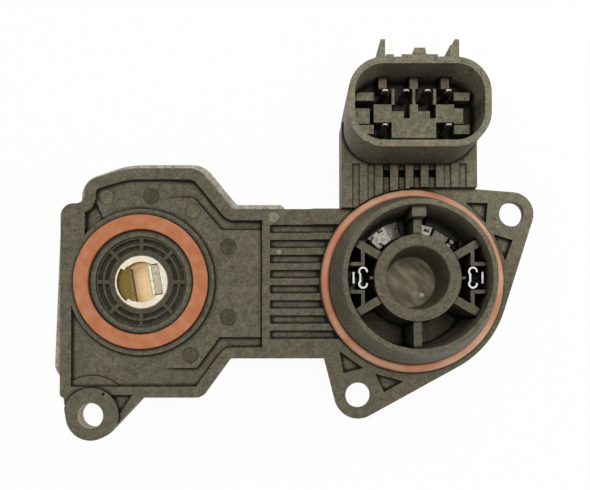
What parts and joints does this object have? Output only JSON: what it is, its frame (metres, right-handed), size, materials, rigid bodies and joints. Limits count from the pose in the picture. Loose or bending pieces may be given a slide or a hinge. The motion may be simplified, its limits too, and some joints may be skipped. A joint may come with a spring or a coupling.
{
  "type": "throttle position sensor",
  "caption": "Throttle body cover with a turning throttle position sensor, a sealed motor socket with spoked bearing cup, and an upright blade connector, fixed by three ears.",
  "frame": {"origin": "where the throttle shaft's axis meets the plane of the mounting pads", "axes": "+X from the shaft's axis to the motor's axis, +Y towards the connector, +Z along the shaft into the throttle body"},
  "size_m": [0.1126, 0.0868, 0.036],
  "materials": {
    "moulded_nylon": "moulded",
    "turned_steel": "bright turned",
    "spring_steel": "rolled",
    "silicone_rubber": "matt",
    "tinned_brass": "tinned",
    "board_laminate": "lacquered"
  },
  "bodies": {
    "cover": {"housing": "moulded_nylon", "rear_cover": "moulded_nylon", "thrust_spring": "spring_steel", "rotor_seal": "silicone_rubber", "motor_seal": "silicone_rubber", "motor_terminal_left": "tinned_brass", "motor_terminal_right": "tinned_brass", "sensor_lead_1": "tinned_brass", "sensor_lead_2": "tinned_brass", "sensor_lead_3": "tinned_brass", "sensor_lead_4": "tinned_brass", "motor_lead_left": "tinned_brass", "motor_lead_right": "tinned_brass", "sensor_board": "board_laminate"},
    "rotor": {"rotor": "moulded_nylon", "shaft_hub": "turned_steel", "hub_spring": "spring_steel", "wiper_inner": "spring_steel", "wiper_outer": "spring_steel"}
  },
  "joints": [
    {"name": "rotor_turn", "type": "hinge", "parent": "cover", "child": "rotor", "pos_m": [0, 0, 0], "axis": [0, 0, 1], "range_deg": [0, 100]}
  ]
}
